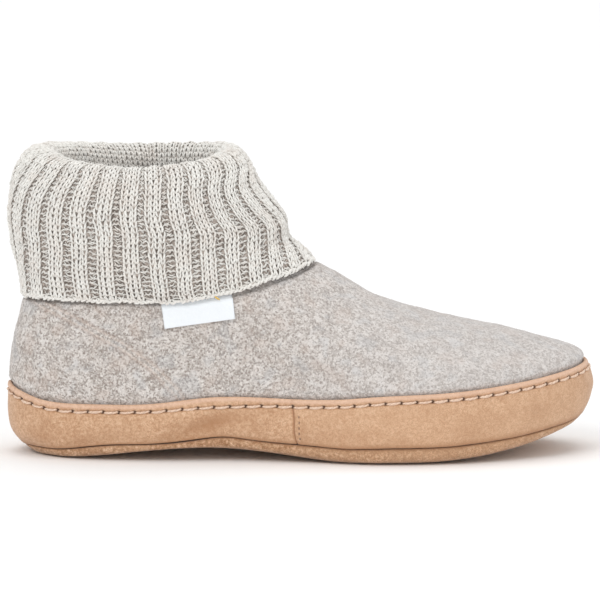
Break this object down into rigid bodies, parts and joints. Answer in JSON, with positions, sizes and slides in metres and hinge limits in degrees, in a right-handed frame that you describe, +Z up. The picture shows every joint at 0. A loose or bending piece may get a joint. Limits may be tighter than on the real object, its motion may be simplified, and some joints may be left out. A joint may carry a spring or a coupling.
{
  "type": "hut slipper",
  "caption": "Right hut slipper: boiled-wool felt upper with a folded-over rib-knit cuff, a stitched suede side band and a soft suede sole with a slight arch and toe spring",
  "frame": {"origin": "bottom centre of the bounding box, on the floor", "axes": "+X from heel to toe, +Y to the inner (medial) side, +Z up"},
  "size_m": [0.268, 0.1022, 0.1405],
  "materials": {
    "felt": "light grey-beige boiled wool, mottled, with a short fuzz",
    "knit": "pale grey wool rib knit, brownish in the grooves",
    "band_suede": "tan suede with a fine nap",
    "sole_suede": "darker tan suede, matt",
    "insole_felt": "grey-beige wool felt",
    "satin_tab": "white woven satin, bare"
  },
  "bodies": {
    "root": {"outsole": "sole_suede", "insole": "insole_felt", "upper": "felt", "cuff": "knit", "label": "satin_tab", "band_heel": "band_suede", "band_toe": "band_suede"}
  },
  "joints": []
}
